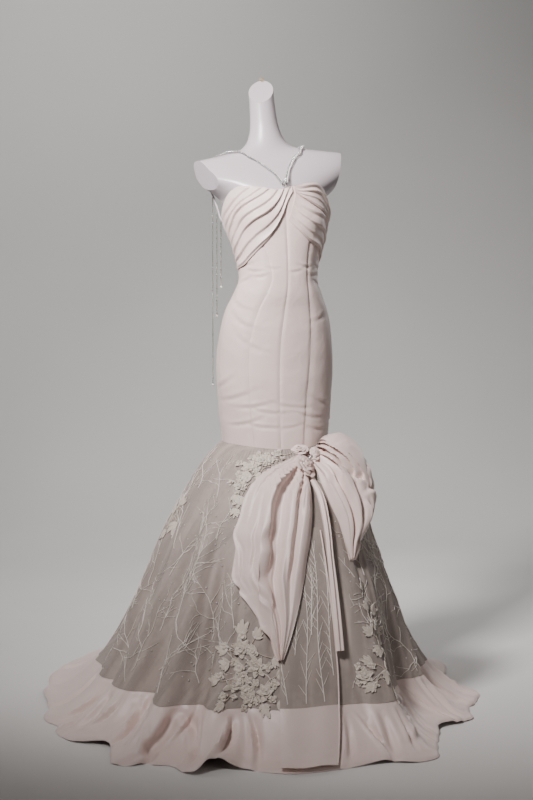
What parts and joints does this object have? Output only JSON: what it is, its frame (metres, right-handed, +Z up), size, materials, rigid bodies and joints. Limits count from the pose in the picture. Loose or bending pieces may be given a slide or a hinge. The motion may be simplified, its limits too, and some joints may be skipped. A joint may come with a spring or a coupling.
{
  "type": "mermaid gown on limbless dress form",
  "caption": "Strapless satin mermaid gown with pleated bust, tulle skirt, satin hem band, side bow with roses, lace flowers and bead straps, on a white limbless dress form.",
  "frame": {"origin": "middle of the base plate's underside, on the floor", "axes": "+Z up along the pole, the gown's front faces -Y, +X is the wearer's left side"},
  "size_m": [1.2667, 1.5364, 1.7513],
  "materials": {
    "satin": "pale blush satin with a soft sheen",
    "tulle": "sheer embroidered tulle over a lining",
    "lace": "matt raised lace",
    "form": "white, slightly glossy",
    "jewels": "silver and crystal beads",
    "links": "smooth white cord",
    "brass": "polished",
    "steel": "pale satin paint"
  },
  "bodies": {
    "root": {"band_back_left": "satin", "band_back_right": "satin", "band_front_left": "satin", "band_front_panel": "satin", "band_front_right": "satin", "bead_strand_1": "jewels", "bead_strand_2": "jewels", "bead_strand_3": "jewels", "bow_loop_back": "satin", "bow_loop_front": "satin", "bow_tail_left": "satin", "bow_tail_long": "satin", "brooch": "jewels", "drape_left": "satin", "drape_right_lower": "satin", "drape_right_upper": "satin", "form_torso": "form", "lace_flower_01": "lace", "lace_flower_02": "lace", "lace_flower_03": "lace", "lace_flower_04": "lace", "lace_flower_05": "lace", "lace_flower_06": "lace", "lace_flower_07": "lace", "lace_flower_08": "lace", "lace_flower_09": "lace", "lace_flower_10": "lace", "lace_flower_11": "lace", "lace_flower_12": "lace", "link_strap": "links", "neck_eye": "brass", "panel_back_left": "satin", "panel_back_right": "satin", "panel_front_left": "satin", "panel_front_right": "satin", "panel_side_back_left": "satin", "panel_side_back_right": "satin", "panel_side_front_left": "satin", "panel_side_front_right": "satin", "rose_large": "satin", "rose_small": "satin", "rose_upper": "satin", "stand_base": "steel", "stand_pole": "steel", "strap_left": "jewels", "strap_right": "jewels", "tulle_back_left": "tulle", "tulle_back_right": "tulle", "tulle_front_left": "tulle", "tulle_front_panel": "tulle", "tulle_front_right": "tulle"}
  },
  "joints": []
}
